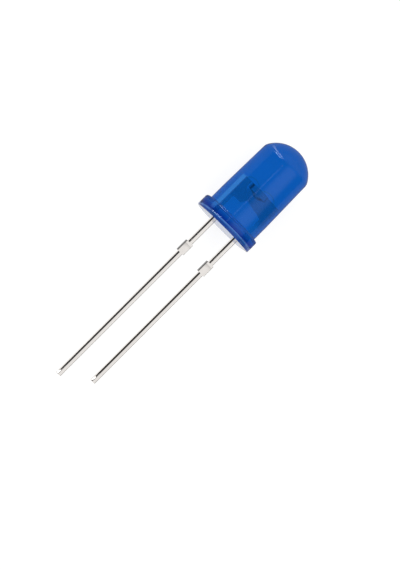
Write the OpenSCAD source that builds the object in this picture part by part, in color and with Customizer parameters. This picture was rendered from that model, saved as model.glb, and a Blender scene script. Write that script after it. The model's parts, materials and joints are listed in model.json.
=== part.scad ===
// Round 5 mm through hole LED with a translucent blue lens, lying as it comes to rest.
//
// Every sub-part is drawn in the lamp's own frame: the axis of the lens is Z, the underside of the flange
// is at z = 0, the dome points up, the legs point down and the cathode is on the +X side. The whole lamp is
// then laid down on the floor with the dome towards +X and the legs side by side. The origin stays at the
// centre of the flange's underside, which is the face that sits on a board.

/* [Lens] */
// Diameter of the barrel just above the flange
barrel_d = 5; // [4.6:0.1:8]
// Height from the underside of the flange to the tip of the dome
body_h = 8.95; // [8:0.05:12]
// Height of the domed end
dome_h = 1.5; // [1:0.1:1.8]
// Radius that blends the barrel into the dome
dome_blend = 0.3; // [0.1:0.05:0.5]
// Length of the parallel land at the foot of the barrel, which a panel holder grips
land_l = 1.5; // [1:0.1:3]
// Draft of the barrel above the land, in degrees a side
barrel_draft = 1.2; // [0.5:0.1:2]

/* [Flange] */
// How far the flange stands out from the barrel
flange_lip = 0.4; // [0.3:0.05:0.8]
// Thickness of the flange
flange_h = 1.15; // [0.8:0.05:1.6]
// Radius of the flange's upper outer edge
flange_round = 0.2; // [0.1:0.05:0.25]
// How far outside the barrel the cathode flat is cut
flat_web = 0.05; // [0.03:0.01:0.2]

/* [Legs] */
// Distance between the legs, centre to centre
lead_pitch = 2.54; // [2.2:0.01:3]
// Width of a leg across the stamped strip
lead_w = 0.4; // [0.35:0.01:0.6]
// Thickness of the strip that both leads are stamped from
strip_t = 0.5; // [0.35:0.01:0.6]
// Length of the long leg below the flange
anode_l = 18.1; // [10:0.05:30]
// How much shorter the cathode leg is
cathode_cut = 1.55; // [1:0.05:2.5]
// How far the sheared dam bar stands out on each side of a leg
stub_lip = 0.11; // [0.05:0.01:0.3]
// Length of a dam bar stub along the leg
stub_l = 1.15; // [0.6:0.05:2]
// Distance from the flange down to the stubs
stub_drop = 2.75; // [2:0.05:5]

/* [Lead frame heads] */
// Height of the cup's rim and of the post's head above the underside of the flange
frame_h = 4.4; // [4:0.05:5.5]
// Diameter of the reflector cup
cup_d = 1.3; // [1.1:0.05:1.4]
// Thickness of the cup's wall at its rim
cup_wall = 0.12; // [0.08:0.01:0.16]
// Depth of the cup's bowl
bowl_depth = 0.4; // [0.3:0.05:0.5]
// Diameter of the bowl's flat floor
bowl_floor_d = 0.6; // [0.55:0.05:0.7]
// Height of the straight band around the cup's rim
cup_band = 0.5; // [0.4:0.05:0.6]
// How far the anvil's shoulder lies below the cup's rim
shoulder_drop = 0.05; // [0.05:0.05:0.3]
// Height of the anvil over the leg, from its foot to its shoulder
anvil_h = 1.8; // [1.6:0.05:1.9]
// Height of the anvil's nose under the cup
nose_h = 0.75; // [0.7:0.05:0.8]
// How far the nose reaches past the axis
nose_reach = 0.5; // [0.45:0.01:0.54]
// How far the anvil's heel reaches past the axis
heel_reach = 0.1; // [0.05:0.01:0.15]
// How far the heel lies below the anvil's shoulder
heel_drop = 1.35; // [1.2:0.05:1.4]
// Width of the slanting slit between the anvil and the post's flag
slit_w = 0.15; // [0.12:0.01:0.18]
// How far the foot of the post's flag lies below the anvil's shoulder
flag_drop = 1.85; // [1.8:0.05:2.2]
// How far the flag's lower corner is cut back
flag_toe = 0.2; // [0.1:0.05:0.3]
// Clear width between the cup and the post's head, filled by the epoxy
frame_gap = 0.2; // [0.15:0.01:0.25]

/* [Chip and wires] */
// Side of the square chip
die_w = 0.3; // [0.2:0.01:0.34]
// Thickness of the chip
die_h = 0.1; // [0.08:0.01:0.15]
// How far the spot of adhesive reaches past the chip's corners
glue_lip = 0.03; // [0.01:0.005:0.03]
// Thickness of the adhesive
glue_t = 0.02; // [0.01:0.01:0.04]
// Diameter of the gold wires
wire_d = 0.03; // [0.03:0.005:0.05]
// Diameter of the bond at each end of a wire
bond_d = 0.09; // [0.08:0.01:0.1]
// Thickness of a bond
bond_h = 0.03; // [0.03:0.005:0.05]
// Distance of the bond pads from the chip's centre
pad_offset = 0.08; // [0.06:0.01:0.08]
// Rise of a wire's loop above the line between its bonds
loop_rise = 0.45; // [0.4:0.01:0.5]

/* [Hidden] */
$fn = 96;

barrel_r = barrel_d / 2;
flange_r = barrel_r + flange_lip;
flat_x = barrel_r + flat_web;

// The barrel's wall runs from the top of the land to the foot of the dome
land_top = flange_h + land_l;
dome_foot = body_h - dome_h;
dome_foot_r = barrel_r - (dome_foot - land_top) * tan(barrel_draft);
// Sphere through the foot and the tip of the dome
dome_r = (pow(dome_foot_r, 2) + pow(dome_h, 2)) / (2 * dome_h);
dome_centre = [0, body_h - dome_r];

// The blend's centre lies a blend radius inside the wall, and as far inside the dome
wall_normal = [cos(barrel_draft), sin(barrel_draft)];
wall_along = [-sin(barrel_draft), cos(barrel_draft)];
blend_start = [barrel_r, land_top] - dome_blend * wall_normal;
from_dome = blend_start - dome_centre;
along = from_dome * wall_along;
blend_run = sqrt(pow(along, 2) - from_dome * from_dome + pow(dome_r - dome_blend, 2)) - along;
blend_centre = blend_start + blend_run * wall_along;
dome_normal = (blend_centre - dome_centre) / norm(blend_centre - dome_centre);
// The arc is drawn a hair larger than a tangent one, so that it crosses the wall and the dome cleanly
blend_r = dome_blend * 1.002;
blend_reach = 3 * dome_blend;

cathode_l = anode_l - cathode_cut;
leg_outer = (lead_pitch + lead_w) / 2;
stub_z = -stub_drop - stub_l / 2;

shoulder_h = frame_h - shoulder_drop;
cup_foot = shoulder_h - nose_h;
bowl_floor = frame_h - bowl_depth;
bowl_d = cup_d - 2 * cup_wall;
head_inner = cup_d / 2 + frame_gap;
die_foot = bowl_floor + glue_t;
die_top = die_foot + die_h;
glue_d = sqrt(2) * die_w + 2 * glue_lip;
shoulder_bond_x = (cup_d / 2 + leg_outer) / 2;
post_bond_x = (head_inner + leg_outer) / 2;
// The slit runs up and away from the axis, from the anvil's heel to its nose
heel = [-heel_reach, shoulder_h - heel_drop];
nose = [-nose_reach, cup_foot];
slit_along = (nose - heel) / norm(nose - heel);
slit_across = [-slit_along[1], slit_along[0]];
flag_tip = heel + slit_w * slit_across;
flag_run = -(head_inner + flag_tip[0]) / slit_along[0];
flag_foot = shoulder_h - flag_drop;
// Slack for cutters that start or end outside what they cut
over = 1;

// The lamp rests on the round of its flange and on the blend at the end of its barrel.
// Both are circles in the outline, so the floor is their common tangent.
rim_centre = [flange_r - flange_round, flange_h - flange_round];
rest_run = blend_centre - rim_centre;
rest_tilt = atan(-rest_run[0] / rest_run[1]) + asin((flange_round - dome_blend) / norm(rest_run));
// The lamp comes to rest rolled a little about its own axis, with the cathode the lower lead
rest_roll = 3.9;

// Lays the lamp down with its dome towards +X and the cathode towards -Y
module lay_down() {
    rotate([0, 90 + rest_tilt, 0])
        rotate([0, 0, rest_roll - 90])
            children();
}

// Outline of the flange, revolved about the axis
module flange_outline() {
    difference() {
        square([flange_r, flange_h]);
        translate(rim_centre)
            difference() {
                square(flange_round + over);
                circle(flange_round);
            }
    }
}

// What the blend takes off the corner between the barrel's wall and the dome
module blend_cutter() {
    translate(blend_centre)
        difference() {
            polygon([[0, 0], blend_reach * wall_normal, blend_reach * dome_normal]);
            circle(blend_r);
        }
}

// Outline of the barrel and its dome, revolved about the axis
module barrel_outline() {
    difference() {
        intersection() {
            polygon([
                [0, 0],
                [barrel_r, 0],
                [barrel_r, land_top],
                [barrel_r, land_top] + (body_h - land_top) / wall_along[1] * wall_along,
                [0, body_h]
            ]);
            union() {
                square([flange_r, dome_centre[1]]);
                translate(dome_centre)
                    circle(dome_r);
            }
        }
        blend_cutter();
    }
}

// The casting as it would be with nothing cast into it
module casting() {
    difference() {
        rotate_extrude() {
            flange_outline();
            barrel_outline();
        }
        translate([flat_x, -flange_r, -over])
            cube([flange_lip + over, 2 * flange_r, flange_h + 2 * over]);
    }
}

// Stamps an outline out of the strip; the outline's second coordinate is the height
module stamp() {
    rotate([90, 0, 0])
        linear_extrude(strip_t, center = true)
            children();
}

// Outline of a leg with the stub of its dam bar; side is -1 for the anode and 1 for the cathode
module leg_outline(side, leg_l, top) {
    translate([side * lead_pitch / 2, 0]) {
        translate([-lead_w / 2, -leg_l])
            square([lead_w, leg_l + top]);
        translate([0, stub_z])
            square([lead_w + 2 * stub_lip, stub_l], center = true);
    }
}

module anvil_outline() {
    polygon([
        [leg_outer, shoulder_h - anvil_h],
        [leg_outer, shoulder_h],
        [-nose_reach, shoulder_h],
        nose,
        heel
    ]);
}

module post_outline() {
    polygon([
        [-leg_outer, flag_foot],
        [flag_tip[0] - flag_toe, flag_foot],
        flag_tip,
        flag_tip + flag_run * slit_along,
        [-head_inner, frame_h],
        [-leg_outer, frame_h]
    ]);
}

// Coined cup: a flared foot, a straight band around the rim and the bowl that holds the chip
module cup() {
    translate([0, 0, cup_foot])
        cylinder(h = frame_h - cup_band - cup_foot, d1 = strip_t, d2 = cup_d);
    translate([0, 0, frame_h - cup_band])
        cylinder(h = cup_band, d = cup_d);
}

module bowl() {
    slope = (bowl_d - bowl_floor_d) / bowl_depth;
    translate([0, 0, bowl_floor])
        cylinder(h = 2 * bowl_depth, d1 = bowl_floor_d, d2 = bowl_floor_d + 2 * bowl_depth * slope);
}

module cathode() {
    difference() {
        union() {
            stamp() {
                leg_outline(1, cathode_l, shoulder_h);
                anvil_outline();
            }
            cup();
        }
        bowl();
    }
}

module anode() {
    stamp() {
        leg_outline(-1, anode_l, frame_h);
        post_outline();
    }
}

module glue() {
    translate([0, 0, bowl_floor])
        cylinder(h = glue_t, d = glue_d);
}

module die() {
    translate([-die_w / 2, -die_w / 2, die_foot])
        cube([die_w, die_w, die_h]);
}

// Gold wire between two bonds given as [x, z], the left one first: one arc over their chord
module bonded_wire(left, right) {
    start = left + [0, bond_h];
    end = right + [0, bond_h];
    chord = norm(end - start);
    loop_r = (pow(chord / 2, 2) + pow(loop_rise, 2)) / (2 * loop_rise);
    half_angle = 2 * atan(2 * loop_rise / chord);
    middle = (start + end) / 2;
    for (foot = [left, right])
        translate([foot[0], 0, foot[1]])
            cylinder(h = bond_h, d = bond_d);
    translate([middle[0], 0, middle[1]])
        rotate([90, 0, 0])
            rotate(atan2(end[1] - start[1], end[0] - start[0]))
                translate([0, loop_rise - loop_r])
                    rotate(90 - half_angle)
                        rotate_extrude(angle = 2 * half_angle)
                            translate([loop_r, 0])
                                circle(d = wire_d);
}

module anode_wire() {
    bonded_wire([-post_bond_x, frame_h], [-pad_offset, die_top]);
}

module cathode_wire() {
    bonded_wire([pad_offset, die_top], [shoulder_bond_x, shoulder_h]);
}

module lens_body() {
    color("royalblue", 0.6)
        lay_down()
            difference() {
                casting();
                cathode();
                anode();
                glue();
                die();
                anode_wire();
                cathode_wire();
            }
}

module cathode_lead() {
    color("silver")
        lay_down()
            cathode();
}

module anode_lead() {
    color("silver")
        lay_down()
            anode();
}

module led_die() {
    color("lightblue")
        lay_down()
            die();
}

module die_attach() {
    color("white")
        lay_down()
            glue();
}

module anode_bond_wire() {
    color("gold")
        lay_down()
            anode_wire();
}

module cathode_bond_wire() {
    color("gold")
        lay_down()
            cathode_wire();
}

lens_body();
cathode_lead();
anode_lead();
led_die();
die_attach();
anode_bond_wire();
cathode_bond_wire();
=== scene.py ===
"""Through hole LED: the looks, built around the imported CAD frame."""

import json
import math

import bmesh
import bpy
from mathutils import Matrix, Vector


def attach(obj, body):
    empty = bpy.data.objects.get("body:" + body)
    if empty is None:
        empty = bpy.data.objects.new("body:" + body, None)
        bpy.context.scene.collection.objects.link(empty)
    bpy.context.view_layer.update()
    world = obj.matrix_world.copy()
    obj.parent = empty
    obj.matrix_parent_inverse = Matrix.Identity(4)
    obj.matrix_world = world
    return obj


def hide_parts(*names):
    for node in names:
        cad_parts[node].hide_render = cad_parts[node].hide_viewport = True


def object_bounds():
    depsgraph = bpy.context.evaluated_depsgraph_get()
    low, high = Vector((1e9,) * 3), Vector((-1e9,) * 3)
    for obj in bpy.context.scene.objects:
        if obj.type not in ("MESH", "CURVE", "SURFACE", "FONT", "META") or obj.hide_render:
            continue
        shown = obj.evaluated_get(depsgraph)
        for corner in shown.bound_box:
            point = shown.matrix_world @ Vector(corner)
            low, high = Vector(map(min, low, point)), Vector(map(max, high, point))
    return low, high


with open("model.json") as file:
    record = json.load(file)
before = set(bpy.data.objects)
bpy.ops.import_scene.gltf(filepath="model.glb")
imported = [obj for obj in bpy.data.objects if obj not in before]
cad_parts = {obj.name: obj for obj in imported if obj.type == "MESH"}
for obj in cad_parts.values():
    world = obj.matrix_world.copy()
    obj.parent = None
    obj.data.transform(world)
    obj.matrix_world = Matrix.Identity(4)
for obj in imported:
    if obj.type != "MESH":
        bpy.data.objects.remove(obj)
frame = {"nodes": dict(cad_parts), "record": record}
CAD_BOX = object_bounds()
MM = 0.001
NODES = frame["nodes"]
MOUNTS = {m["name"]: m for m in frame["record"]["mounts"]}

# ---------------------------------------------------------------- the lamp's own frame
# Z is the axis towards the dome, X points at the cathode, the origin is the flange's underside
SEAT = Vector(MOUNTS["board_seat"]["pos_m"])
AXIS = -Vector(MOUNTS["board_seat"]["axis"]).normalized()
ACROSS = Vector(MOUNTS["cathode_pin"]["pos_m"]) - Vector(MOUNTS["anode_pin"]["pos_m"])
ACROSS = (ACROSS - ACROSS.dot(AXIS) * AXIS).normalized()
LAMP = Matrix((ACROSS, AXIS.cross(ACROSS), AXIS)).transposed().to_4x4()
LAMP.translation = SEAT

# ---------------------------------------------------------------- sizes in mm
# Most are the source's own. The photograph gave those of the witness line, the tin and small edges
BARREL_R, BODY_H, DOME_H = 2.5, 8.95, 1.5
LAND_TOP, DRAFT = 2.65, math.radians(1.2)
FLANGE_R, FLANGE_H, FLANGE_ROUND, FLANGE_LIP, FLAT_X = 2.9, 1.15, 0.2, 0.035, 2.55
FOOT_FILLET = 0.07
# Softer than in the source, as the photograph shows the shoulder
DOME_BLEND = 0.8
# The witness line that the mould's cup leaves round the flange climbs towards one side
WITNESS_Z, WITNESS_CLIMB = 0.22, 0.135
WITNESS_HIGH = Vector((0.149, -0.989, 0))
WITNESS_OUT, WITNESS_CREST, WITNESS_FOOT = 0.02, 0.012, 0.045

LEAD_W, STRIP_T, PITCH = 0.4, 0.5, 2.54
ANODE_L, CATHODE_L = 18.1, 16.55
ANODE_CORNER, CATHODE_CORNER, RIGHT_CORNER = 0.19, 0.2, 0.07
STUB_TOP, STUB_L, STUB_LIP, STUB_CORNER = 2.75, 1.15, 0.11, 0.03
# How far sheared edges are rounded, and how a leg flares and steps out to its stub
EDGE, FLARE, STEP = 0.03, 0.004, 0.002
GROOVE_TOP, GROOVE_W, GROOVE_D, GROOVE_SLOPE = 0.17, 0.07, 0.006, 0.02
# The tin thickens the legs a little, and they come out nearer the cathode side than they should
TIN, LEG_OFF = 0.04, 0.12
# Above this height the lead is the CAD's own
HEAD_CUT = 0.6


# ---------------------------------------------------------------- shapes
def arc(cx, cz, r, start, end, steps):
    """Points of an arc in the outline's plane, angles in degrees from the outward direction."""
    out = []
    for i in range(steps + 1):
        a = math.radians(start + (end - start) * i / steps)
        out.append((cx + r * math.cos(a), cz + r * math.sin(a)))
    return out


def lens_outline(turn):
    """The casting's outline in the direction turn, from its underside's middle to its tip."""
    ridge_z = WITNESS_Z + WITNESS_CLIMB * (
        math.cos(turn) * WITNESS_HIGH.x + math.sin(turn) * WITNESS_HIGH.y
    )
    ridge_foot, ridge_r = ridge_z - WITNESS_FOOT, FLANGE_R + WITNESS_OUT
    dome_foot = BODY_H - DOME_H
    foot_r = BARREL_R - (dome_foot - LAND_TOP) * math.tan(DRAFT)
    dome_r = (foot_r**2 + DOME_H**2) / (2 * DOME_H)
    dome_z = BODY_H - dome_r

    # The underside and the flange with its witness line
    pts = [(r, 0.0) for r in (0, 0.4, 0.8, 1.2, 1.6, 2.0, 2.4, 2.7)]
    pts += arc(FLANGE_R - FLANGE_LIP, FLANGE_LIP, FLANGE_LIP, -90, 0, 4)
    pts += [(FLANGE_R, FLANGE_LIP + f * (ridge_foot - FLANGE_LIP)) for f in (0.4, 1.0)]
    pts += [(ridge_r, ridge_z - WITNESS_CREST), (ridge_r, ridge_z + WITNESS_CREST)]
    pts += [(FLANGE_R, z) for z in (ridge_z + WITNESS_FOOT, 0.5, 0.7)]
    pts += arc(FLANGE_R - FLANGE_ROUND, FLANGE_H - FLANGE_ROUND, FLANGE_ROUND, 0, 90, 10)
    pts += arc(BARREL_R + FOOT_FILLET, FLANGE_H + FOOT_FILLET, FOOT_FILLET, 270, 180, 6)
    # The land that a holder grips
    pts += [(BARREL_R, FLANGE_H + f * (LAND_TOP - FLANGE_H)) for f in (0.25, 0.5, 0.75, 1.0)]

    # The blend touches the drafted wall and the dome from inside
    # out points out of the wall, and rise up along it
    out = Vector((math.cos(DRAFT), math.sin(DRAFT)))
    rise = Vector((-math.sin(DRAFT), math.cos(DRAFT)))
    wall_start = Vector((BARREL_R, LAND_TOP))
    start = wall_start - DOME_BLEND * out
    from_dome = start - Vector((0, dome_z))
    along = from_dome.dot(rise)
    run = math.sqrt(along**2 - from_dome.dot(from_dome) + (dome_r - DOME_BLEND) ** 2) - along
    centre = start + run * rise
    wall_end = centre + DOME_BLEND * out
    pts += [tuple(wall_start.lerp(wall_end, k / 12)) for k in range(1, 12)]
    top = math.degrees(math.atan2(centre[1] - dome_z, centre[0]))
    pts += arc(centre[0], centre[1], DOME_BLEND, math.degrees(DRAFT), top, 10)
    pts += arc(0, dome_z, dome_r, top, 90, 28)[1:-1]
    pts.append((0.0, BODY_H))
    return pts


def add_object(name, mesh):
    obj = bpy.data.objects.new(name, mesh)
    bpy.context.scene.collection.objects.link(obj)
    return obj


def mesh_object(name, bm, smooth_angle=32):
    """Makes an object of a bmesh, smooth but for the edges sharper than smooth_angle."""
    bmesh.ops.recalc_face_normals(bm, faces=bm.faces)
    for face in bm.faces:
        face.smooth = True
    for edge in bm.edges:
        if len(edge.link_faces) == 2 and edge.calc_face_angle(0) > math.radians(smooth_angle):
            edge.smooth = False
    mesh = bpy.data.meshes.new(name)
    bm.to_mesh(mesh)
    bm.free()
    return add_object(name, mesh)


def revolve(name, outline, count, flat):
    """Revolves what outline(turn) gives about the lamp's axis, and cuts it at x = flat."""
    bm = bmesh.new()
    turns = [2 * math.pi * i / count for i in range(count)]
    rings = []
    for level in zip(*(outline(t) for t in turns)):
        if level[0][0] < 1e-9:
            rings.append([bm.verts.new(LAMP @ Vector((0, 0, level[0][1] * MM)))])
            continue
        ring = []
        for t, (r, z) in zip(turns, level):
            x, y = min(r * math.cos(t), flat), r * math.sin(t)
            ring.append(bm.verts.new(LAMP @ Vector((x * MM, y * MM, z * MM))))
        rings.append(ring)
    for low, high in zip(rings, rings[1:]):
        for i in range(count):
            j = (i + 1) % count
            if len(low) == 1:
                bm.faces.new((low[0], high[j], high[i]))
            elif len(high) == 1:
                bm.faces.new((low[i], low[j], high[0]))
            else:
                bm.faces.new((low[i], low[j], high[j], high[i]))
    # Rings that the flat cuts to one line leave faces without area
    bmesh.ops.dissolve_degenerate(bm, dist=1e-4 * MM, edges=bm.edges)
    return mesh_object(name, bm)


def rounded_section(half_w, half_t, corner, steps=5):
    """Points of a rounded rectangle, anticlockwise, with at most RIGHT_CORNER on its right."""
    pts = []
    for k, (sx, sy) in enumerate(((1, 1), (-1, 1), (-1, -1), (1, -1))):
        r = corner if sx < 0 else min(corner, RIGHT_CORNER)
        cx, cy = sx * (half_w - r), sy * (half_t - r)
        for i in range(steps + 1):
            a = math.radians(90 * k + 90 * i / steps)
            pts.append((cx + r * math.cos(a), cy + r * math.sin(a)))
    return pts


def leg_sections(length, corner):
    """The leg from its tip into the lens: height, half width, half thickness, corner, in mm."""
    w, t = LEAD_W / 2 + TIN, STRIP_T / 2
    wide = w + STUB_LIP
    foot = -STUB_TOP - STUB_L
    low, high = -length + 1.2, foot - 0.1
    groove = -STUB_TOP - GROOVE_TOP
    tip = [
        (-length, w - EDGE, t - EDGE, 0.05),
        (-length + 0.015, w - 0.01, t - 0.01, 0.07),
        (-length + 0.06, w, t, corner),
    ]
    shank = [(low + (high - low) * k / 8, w, t, corner) for k in range(8)]
    stub = [
        (foot - EDGE, w, t, corner),
        (foot, w + FLARE, t, corner),
        (foot + STEP, wide - EDGE, t, STUB_CORNER + 0.01),
        (foot + EDGE, wide, t, STUB_CORNER),
        (groove - GROOVE_W, wide, t, STUB_CORNER),
        (groove - GROOVE_W + GROOVE_SLOPE, wide, t - GROOVE_D, STUB_CORNER),
        (groove - GROOVE_SLOPE, wide, t - GROOVE_D, STUB_CORNER),
        (groove, wide, t, STUB_CORNER),
        (-STUB_TOP - EDGE, wide, t, STUB_CORNER),
        (-STUB_TOP - STEP, wide - EDGE, t, STUB_CORNER + 0.01),
        (-STUB_TOP, w + FLARE, t, corner),
        (-STUB_TOP + EDGE, w, t, corner),
    ]
    root = [
        (-1.4, w, t, corner),
        (0, w, t, corner),
        (HEAD_CUT + 0.2, w - TIN - 0.01, t - 0.01, corner),
    ]
    return tip + shank + stub + root


def cad_head(node):
    """The CAD lead above HEAD_CUT, closed where it is cut, as a mesh in the lamp's frame in mm."""
    head = bmesh.new()
    head.from_mesh(NODES[node].data)
    head.transform(LAMP.inverted() @ NODES[node].matrix_world)
    head.transform(Matrix.Scale(1 / MM, 4))
    bmesh.ops.remove_doubles(head, verts=head.verts, dist=0.0005)
    cut = bmesh.ops.bisect_plane(
        head, geom=head.verts[:] + head.edges[:] + head.faces[:],
        plane_co=(0, 0, HEAD_CUT), plane_no=(0, 0, 1), clear_inner=True,
    )
    rim = [e for e in cut["geom_cut"] if isinstance(e, bmesh.types.BMEdge)]
    bmesh.ops.contextual_create(head, geom=rim)
    mesh = bpy.data.meshes.new("spare")
    head.to_mesh(mesh)
    head.free()
    return mesh


def lead(name, node, side, length, corner):
    """One stamped lead: a leg with the soft corners of the dipped tin, and the CAD's head."""
    bm = bmesh.new()
    rings = []
    for z, half_w, half_t, r in leg_sections(length, corner):
        middle = side * PITCH / 2 + (LEG_OFF if z < HEAD_CUT else 0)
        section = rounded_section(half_w, half_t, r)
        rings.append([bm.verts.new((middle + x, y, z)) for x, y in section])
    count = len(rings[0])
    for low, high in zip(rings, rings[1:]):
        for i in range(count):
            j = (i + 1) % count
            bm.faces.new((low[i], low[j], high[j], high[i]))
    bm.faces.new(rings[0][::-1])
    bm.faces.new(rings[-1])
    head = cad_head(node)
    bm.from_mesh(head)
    bpy.data.meshes.remove(head)
    bm.transform(LAMP @ Matrix.Scale(MM, 4))
    return mesh_object(name, bm, 40)


# ---------------------------------------------------------------- nodes
def new_material(name):
    mat = bpy.data.materials.new(name)
    mat.use_nodes = True
    nt = mat.node_tree
    return mat, nt, nt.nodes["Principled BSDF"]


def noise(nt, coords, scale, detail=3.0, rough=0.5):
    """Noise, most of which lies between 0.3 and 0.7."""
    n = nt.nodes.new("ShaderNodeTexNoise")
    n.inputs["Scale"].default_value = scale
    n.inputs["Detail"].default_value = detail
    n.inputs["Roughness"].default_value = rough
    nt.links.new(coords, n.inputs["Vector"])
    return n.outputs["Fac"]


def ramp(nt, value, lo, hi, out_lo, out_hi):
    m = nt.nodes.new("ShaderNodeMapRange")
    for key, val in (("From Min", lo), ("From Max", hi), ("To Min", out_lo), ("To Max", out_hi)):
        m.inputs[key].default_value = val
    nt.links.new(value, m.inputs["Value"])
    return m.outputs["Result"]


def maths(nt, operation, a, b=0):
    """A Math node's result, where a and b are each a socket or a number."""
    node = nt.nodes.new("ShaderNodeMath")
    node.operation = operation
    for socket, value in zip(node.inputs, (a, b)):
        if isinstance(value, (int, float)):
            socket.default_value = value
        else:
            nt.links.new(value, socket)
    return node.outputs[0]


def mixed(nt, factor, a, b):
    """Mixes two colours, each either a socket or three numbers."""
    m = nt.nodes.new("ShaderNodeMix")
    m.data_type = "RGBA"
    nt.links.new(factor, m.inputs["Factor"])
    for key, colour in (("A", a), ("B", b)):
        if isinstance(colour, tuple):
            m.inputs[key].default_value = (*colour, 1)
        else:
            nt.links.new(colour, m.inputs[key])
    return m.outputs["Result"]


def parts_of(nt, vector):
    node = nt.nodes.new("ShaderNodeSeparateXYZ")
    nt.links.new(vector, node.inputs["Vector"])
    return node.outputs


def dot(nt, vector, fixed):
    node = nt.nodes.new("ShaderNodeVectorMath")
    node.operation = "DOT_PRODUCT"
    nt.links.new(vector, node.inputs[0])
    node.inputs[1].default_value = fixed
    return node.outputs["Value"]


def bump(nt, height, shader, strength, distance):
    b = nt.nodes.new("ShaderNodeBump")
    b.inputs["Strength"].default_value = strength
    b.inputs["Distance"].default_value = distance
    nt.links.new(height, b.inputs["Height"])
    nt.links.new(b.outputs["Normal"], shader.inputs["Normal"])


def placed(nt, vector, location, rotation, scale=(1, 1, 1)):
    """The vector in a frame at location, turned by rotation and with axes as long as scale."""
    m = nt.nodes.new("ShaderNodeMapping")
    m.vector_type = "TEXTURE"
    m.inputs["Location"].default_value = location
    m.inputs["Rotation"].default_value = rotation
    m.inputs["Scale"].default_value = scale
    nt.links.new(vector, m.inputs["Vector"])
    return m.outputs["Vector"]


def lamp_coords(nt, stretch=(1, 1, 1)):
    """Coordinates in the lamp's own frame, in mm, stretched along its X, Y and Z."""
    tex = nt.nodes.new("ShaderNodeTexCoord")
    return placed(nt, tex.outputs["Object"], SEAT, LAMP.to_euler(), [MM * s for s in stretch])


def reflected_rays(nt):
    """1 for the rays that a surface mirrors, 0 for all others, also those refracted by glass."""
    path = nt.nodes.new("ShaderNodeLightPath")
    not_refracted = maths(nt, "SUBTRACT", 1, path.outputs["Is Transmission Ray"])
    return maths(nt, "MULTIPLY", path.outputs["Is Glossy Ray"], not_refracted)


def seen_rays(nt):
    """1 for the rays that show a surface to the camera, straight or through glass."""
    path = nt.nodes.new("ShaderNodeLightPath")
    return maths(nt, "MAXIMUM", path.outputs["Is Camera Ray"], path.outputs["Is Transmission Ray"])


# ---------------------------------------------------------------- materials
def epoxy():
    barrel_dark, barrel_light = (0.004, 0.122, 0.53), (0.005, 0.132, 0.57)
    # Painted reflection and highlight: the flange's lighter colour below its witness line, and the
    # pale colour of the line
    flange_low_sheen, flange_high = (0.04, 0.105, 0.36), (0.002, 0.034, 0.31)
    witness_highlight = (0.14, 0.29, 0.66)
    mat, nt, bsdf = new_material("tinted_epoxy")
    near = lamp_coords(nt)
    cloud = ramp(nt, noise(nt, near, 0.35, 2.0), 0.35, 0.65, 0, 1)
    barrel = mixed(nt, cloud, barrel_dark, barrel_light)
    # The flange is deeper above its witness line than below it, where a lighter, greyer band is a
    # painted reflection. The line itself carries a painted highlight
    z = parts_of(nt, near)["Z"]
    climb = dot(nt, near, WITNESS_HIGH * WITNESS_CLIMB / FLANGE_R)
    above = maths(nt, "SUBTRACT", z, maths(nt, "ADD", climb, WITNESS_Z))
    flange = mixed(nt, ramp(nt, above, -0.03, 0.03, 0, 1), flange_low_sheen, flange_high)
    highlight_on_line = ramp(nt, maths(nt, "ABSOLUTE", above), 0.03, 0.08, 1, 0)
    flange = mixed(nt, highlight_on_line, flange, witness_highlight)
    up_barrel = ramp(nt, z, 0.55, FLANGE_H, 0, 1)
    nt.links.new(mixed(nt, up_barrel, flange, barrel), bsdf.inputs["Base Color"])
    fine = noise(nt, near, 3.0, 4.0)
    nt.links.new(ramp(nt, fine, 0.3, 0.7, 0.045, 0.085), bsdf.inputs["Roughness"])
    bump(nt, noise(nt, near, 0.9, 2.0), bsdf, 0.06, 0.02 * MM)
    bsdf.inputs["Transmission Weight"].default_value = 0.88
    bsdf.inputs["IOR"].default_value = 1.5
    bsdf.inputs["Specular IOR Level"].default_value = 0.12
    bsdf.inputs["Specular Tint"].default_value = (0.5, 0.6, 0.85, 1)
    return mat


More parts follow.
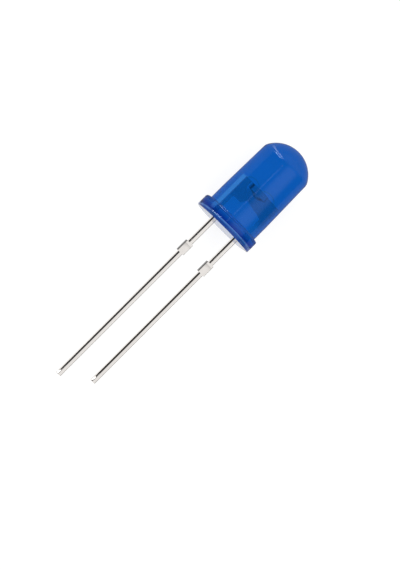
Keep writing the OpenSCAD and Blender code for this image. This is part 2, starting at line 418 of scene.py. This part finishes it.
def tinned_steel():
    tin_dark, tin_light = (0.8, 0.765, 0.735), (0.88, 0.85, 0.82)
    # Painted shade and highlight: the grey of the metal inside the lens, and the white of the
    # post's outer side
    shade_grey, highlight_white, bare = (0.6, 0.59, 0.58), (1.0, 1.0, 1.0), (0.08, 0.076, 0.072)
    half_w = LEAD_W / 2
    mat, nt, bsdf = new_material("tinned_steel")
    drawn = noise(nt, lamp_coords(nt, (0.05, 0.05, 1.2)), 1.0, 4.0, 0.6)
    soft = noise(nt, lamp_coords(nt, (1, 1, 3)), 0.8, 3.0)
    tin = mixed(nt, ramp(nt, soft, 0.3, 0.7, 0, 1), tin_dark, tin_light)
    place = parts_of(nt, lamp_coords(nt))
    x, z = place["X"], place["Z"]
    # Painted shade: inside the lens the metal is darkened, above the head and on the anode's post.
    # The outer side of the post is painted white as a highlight
    head = ramp(nt, z, 2.0, 2.6, 0, 1)
    cast_in = ramp(nt, z, 0.05, 0.3, 0, 1)
    post_shade = ramp(nt, x, -PITCH / 2 + LEAD_W, -PITCH / 2 + half_w, 0, 0.5)
    inward = ramp(nt, x, -PITCH / 2 - half_w + 0.01, -PITCH / 2 - half_w + 0.05, 0, 1)
    painted_shade = maths(nt, "MAXIMUM", head, maths(nt, "MULTIPLY", cast_in, post_shade))
    colour = mixed(nt, maths(nt, "MULTIPLY", painted_shade, inward), tin, shade_grey)
    post_highlight = maths(nt, "MULTIPLY", cast_in, maths(nt, "SUBTRACT", 1, inward))
    colour = mixed(nt, post_highlight, colour, highlight_white)
    # The sheared sides of the stubs lie further from their leg's middle than the leg's own sides
    aside = maths(nt, "ABSOLUTE", maths(nt, "SUBTRACT", x, LEG_OFF))
    reach = maths(nt, "ABSOLUTE", maths(nt, "SUBTRACT", aside, PITCH / 2))
    stub_side = half_w + TIN + STUB_LIP
    side = ramp(nt, reach, stub_side - 0.035, stub_side - 0.015, 0, 1)
    sheared = maths(nt, "MULTIPLY", side, ramp(nt, z, -0.3, -0.1, 1, 0))
    nt.links.new(mixed(nt, sheared, colour, bare), bsdf.inputs["Base Color"])
    nt.links.new(ramp(nt, drawn, 0.3, 0.7, 0.06, 0.12), bsdf.inputs["Roughness"])
    bump(nt, drawn, bsdf, 0.12, 0.004 * MM)
    bsdf.inputs["Metallic"].default_value = 1.0
    # Painted glow: the outer side of the post emits light, standing in for the light the lens
    # throws on it
    bsdf.inputs["Emission Color"].default_value = (1.0, 0.6, 0.25, 1)
    nt.links.new(maths(nt, "MULTIPLY", post_highlight, 0.35), bsdf.inputs["Emission Strength"])
    return mat


def speckled(name, grain, scales, dark, light, roughness, metallic=0.0):
    """A small part's material. Its colour and roughness vary over grain mm, at the two scales."""
    mat, nt, bsdf = new_material(name)
    near = lamp_coords(nt, (grain, grain, grain))
    nt.links.new(mixed(nt, noise(nt, near, scales[0]), dark, light), bsdf.inputs["Base Color"])
    rough = ramp(nt, noise(nt, near, scales[1]), 0.3, 0.7, *roughness)
    nt.links.new(rough, bsdf.inputs["Roughness"])
    bsdf.inputs["Metallic"].default_value = metallic
    return mat


def give(obj, mat):
    obj.data.materials.clear()
    obj.data.materials.append(mat)


# ---------------------------------------------------------------- the pieces
lens = revolve("lens", lens_outline, 192, FLAT_X)
give(lens, epoxy())
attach(lens, "root")
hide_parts("lens_body")

tin = tinned_steel()
for name, node, side, length, corner in (
    ("anode_frame", "anode_lead", -1, ANODE_L, ANODE_CORNER),
    ("cathode_frame", "cathode_lead", 1, CATHODE_L, CATHODE_CORNER),
):
    piece = lead(name, node, side, length, corner)
    give(piece, tin)
    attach(piece, "root")
    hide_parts(node)

chip = speckled(
    "chip", 0.1, (2.0, 6.0), (0.45, 0.62, 0.7), (0.6, 0.78, 0.84), (0.1, 0.25)
)
adhesive = speckled(
    "adhesive", 0.1, (3.0, 8.0), (0.72, 0.72, 0.7), (0.85, 0.85, 0.83), (0.4, 0.6)
)
gold = speckled(
    "gold_wire", 0.03, (1.0, 4.0), (0.93, 0.7, 0.32), (1.0, 0.78, 0.4), (0.15, 0.3), 1.0
)
for node, mat in (
    ("led_die", chip),
    ("die_attach", adhesive),
    ("anode_bond_wire", gold),
    ("cathode_bond_wire", gold),
):
    for slot in NODES[node].material_slots:
        slot.material = mat

# ---------------------------------------------------------------- the camera
# Where the camera stands round the lamp and below its flange, and how far it is rolled
AROUND, UNDER, ROLL = math.radians(16.5), math.radians(2.7), math.radians(45.0)
DISTANCE, FIELD, SENSOR = 0.3, 33.06 * MM, 36
# The picture's middle, in mm from the flange's underside
AIM_LEFT, AIM_DOWN, AIM_SIDE = 1.818, 4.702, 0.05

to_camera = LAMP.to_3x3() @ Vector(
    (-math.sin(AROUND) * math.cos(UNDER), -math.cos(AROUND) * math.cos(UNDER), -math.sin(UNDER))
)
seen_axis = (AXIS - AXIS.dot(to_camera) * to_camera).normalized()
seen_side = seen_axis.cross(to_camera)
right = math.cos(ROLL) * seen_axis + math.sin(ROLL) * seen_side
up = math.sin(ROLL) * seen_axis - math.cos(ROLL) * seen_side
cam_data = bpy.data.cameras.new("camera")
cam_data.sensor_fit = "HORIZONTAL"
cam_data.sensor_width = SENSOR
cam_data.lens = DISTANCE * SENSOR / FIELD
cam_data.clip_start, cam_data.clip_end = 0.01, 10
camera = add_object("camera", cam_data)
pose = Matrix((right, up, to_camera)).transposed().to_4x4()
aim = SEAT - (right * AIM_LEFT + up * AIM_DOWN + seen_side * AIM_SIDE) * MM
pose.translation = aim + to_camera * DISTANCE
camera.matrix_world = pose
bpy.context.scene.camera = camera

# ---------------------------------------------------------------- the floor
bm = bmesh.new()
bmesh.ops.create_grid(bm, x_segments=2, y_segments=2, size=0.6)
floor_mesh = bpy.data.meshes.new("floor")
bm.to_mesh(floor_mesh)
bm.free()
floor = add_object("floor", floor_mesh)
floor.location = (0, 0, CAD_BOX[0][2])
floor_mat, nt, bsdf = new_material("floor")
# The floor glows by itself for most of its white, and its lit share shows the lamp's shadow
SEEN_GLOW, LEG_GLOW = 0.8, 0.75
bsdf.inputs["Base Color"].default_value = (0.25, 0.25, 0.25, 1)
bsdf.inputs["Roughness"].default_value = 0.9
bsdf.inputs["Specular IOR Level"].default_value = 0.1
bsdf.inputs["Emission Color"].default_value = (1, 1, 1, 1)
spot = nt.nodes.new("ShaderNodeNewGeometry").outputs["Position"]
# What is mirrored is white beside the legs and dark beside the lens
mirrored = ramp(nt, parts_of(nt, spot)["X"], -0.1 * MM, 0.4 * MM, LEG_GLOW, 0.0)
# A bright wedge runs away from the dome, and only the edge of the dome mirrors it
WEDGE_FROM, WEDGE_TURN = (7.5 * MM, 1.5 * MM, 0), (0, 0, math.radians(47.5))
wedge = parts_of(nt, placed(nt, spot, WEDGE_FROM, WEDGE_TURN))
spread = maths(nt, "ABSOLUTE", maths(nt, "DIVIDE", wedge["Y"], wedge["X"]))
run = ramp(nt, wedge["X"], 2.5 * MM, 12.0 * MM, 0.0, 5.0)
bright = maths(nt, "MULTIPLY", run, ramp(nt, spread, 0.05, 0.11, 1.0, 0.0))
mirrored = maths(nt, "ADD", mirrored, bright)
seen = maths(nt, "MULTIPLY", seen_rays(nt), SEEN_GLOW)
glow = maths(nt, "ADD", seen, maths(nt, "MULTIPLY", reflected_rays(nt), mirrored))
nt.links.new(glow, bsdf.inputs["Emission Strength"])
give(floor, floor_mat)

# ---------------------------------------------------------------- the world
# All rays but mirrored ones see white. Those see a panel to the right of the camera with dark
# beside it, a pale world behind the lamp, and pale walls beyond the dome and beyond the legs
PANEL = math.radians(36)
world = bpy.data.worlds.new("studio")
bpy.context.scene.world = world
world.use_nodes = True
nt = world.node_tree
background = nt.nodes["Background"]
background.inputs["Color"].default_value = (1, 1, 1, 1)
direction = nt.nodes.new("ShaderNodeTexCoord").outputs["Generated"]


def fall_off(cosine, outer, inner, out_outer, out_inner):
    """From one strength to another between two angles, in degrees from the cosine's direction."""
    edges = [math.cos(math.radians(angle)) for angle in (outer, inner)]
    return ramp(nt, cosine, *edges, out_outer, out_inner)


off_panel = dot(nt, direction, math.cos(PANEL) * to_camera + math.sin(PANEL) * seen_side)
endwise = dot(nt, direction, AXIS)
past_dome = ramp(nt, endwise, 0.3, 0.7, 0.0, 0.5)
past_legs = ramp(nt, endwise, -0.3, -0.6, 0.0, 0.9)
ends = maths(nt, "ADD", past_dome, past_legs)
panel = fall_off(off_panel, 32, 14, 0.2, 0.95)
front = fall_off(off_panel, 38, 28, 0.0, 1.0)
back = fall_off(off_panel, 150, 120, 1.0, 0.0)
sides = maths(nt, "MULTIPLY", panel, maths(nt, "MAXIMUM", front, back))
pick = nt.nodes.new("ShaderNodeMix")
pick.data_type = "FLOAT"
nt.links.new(reflected_rays(nt), pick.inputs["Factor"])
pick.inputs["A"].default_value = 1.0
nt.links.new(maths(nt, "MAXIMUM", sides, ends), pick.inputs["B"])
nt.links.new(pick.outputs["Result"], background.inputs["Strength"])


# ---------------------------------------------------------------- the lamps
# They all face a point in the barrel
LIT_POINT = SEAT + AXIS * 4 * MM


def soft_box(name, towards, distance, across, along, watts):
    """A rectangular lamp. towards is along the seen side, the seen axis and the camera."""
    way = seen_side * towards[0] + seen_axis * towards[1] + to_camera * towards[2]
    way.normalize()
    data = bpy.data.lights.new(name, "AREA")
    data.shape, data.size, data.size_y, data.energy = "RECTANGLE", across, along, watts
    lamp = add_object(name, data)
    flat = way.cross(seen_axis).normalized()
    turn = Matrix((flat, way.cross(flat), way)).transposed().to_4x4()
    turn.translation = LIT_POINT + way * distance
    lamp.matrix_world = turn
    # Through the glass the lamp itself isn't seen
    lamp.visible_transmission = False


soft_box("shoulder_strip", (-0.70, 0.45, 0.50), 0.25, 0.2, 0.03, 0.2)
soft_box("dome_strip", (-0.64, 0.72, 0.25), 0.25, 0.26, 0.024, 0.2)
soft_box("front_strip", (-0.12, 0.15, 1.0), 0.4, 0.02, 0.04, 0.004)
soft_box("ridge_panel", (0.05, -0.85, 0.55), 0.3, 0.3, 0.06, 0.08)

bpy.context.scene.view_settings.view_transform = "Standard"
